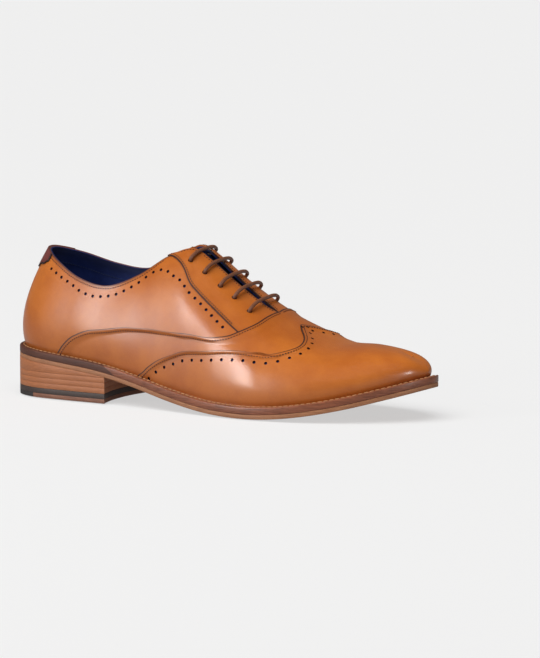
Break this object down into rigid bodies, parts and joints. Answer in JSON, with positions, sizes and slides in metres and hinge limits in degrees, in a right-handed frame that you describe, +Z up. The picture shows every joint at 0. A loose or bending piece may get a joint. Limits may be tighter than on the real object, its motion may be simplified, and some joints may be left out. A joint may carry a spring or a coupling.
{
  "type": "oxford shoe",
  "caption": "Right wing-tip leather oxford with closed lacing, punched seams, hinged tongue, welted leather sole and stacked heel.",
  "frame": {"origin": "bottom centre of the bounding box, on the ground that the shoe stands on", "axes": "+X from heel to toe, +Y to the inner side of the foot, +Z up"},
  "size_m": [0.3084, 0.1021, 0.1052],
  "materials": {
    "tan_leather": "polished",
    "burgundy_leather": "satin",
    "navy_lining": "matte",
    "stiffener_board": "matte",
    "insole_leather": "matte",
    "cork": "matte",
    "shank_steel": "satin",
    "dark_edge": "satin",
    "sole_leather": "satin",
    "heel_leather": "satin",
    "rubber": "matte",
    "nail_steel": "satin",
    "pin_brass": "satin",
    "lace_cord": "waxed",
    "aglet_plastic": "satin"
  },
  "bodies": {
    "shoe": {"wing_cap": "tan_leather", "vamp": "tan_leather", "quarter_lateral": "tan_leather", "quarter_medial": "tan_leather", "facing_lateral": "tan_leather", "facing_medial": "tan_leather", "heel_tab": "burgundy_leather", "back_strip": "burgundy_leather", "vamp_lining": "navy_lining", "quarter_lining_lateral": "navy_lining", "quarter_lining_medial": "navy_lining", "heel_counter": "stiffener_board", "toe_puff": "stiffener_board", "insole_board": "insole_leather", "sock_liner": "navy_lining", "cork_filler": "cork", "shank": "shank_steel", "welt": "dark_edge", "heel_rand": "dark_edge", "outsole": "sole_leather", "heel_wedge": "heel_leather", "heel_lift_1": "heel_leather", "heel_lift_2": "heel_leather", "heel_lift_3": "heel_leather", "heel_rubber": "rubber", "top_piece_leather": "sole_leather", "top_piece_rubber": "rubber", "heel_nails": "nail_steel", "top_piece_pins": "pin_brass", "lace": "lace_cord", "lace_end_lateral": "lace_cord", "lace_end_medial": "lace_cord", "aglet_lateral": "aglet_plastic", "aglet_medial": "aglet_plastic"},
    "tongue": {"tongue": "tan_leather", "tongue_lining": "navy_lining"}
  },
  "joints": [
    {"name": "tongue_hinge", "type": "hinge", "parent": "shoe", "child": "tongue", "pos_m": [0.0525, 0, 0.054], "axis": [0, -1, 0], "range_deg": [0, 9], "stiffness_Nm_per_rad": 0.3, "springref_deg": -2.86}
  ]
}
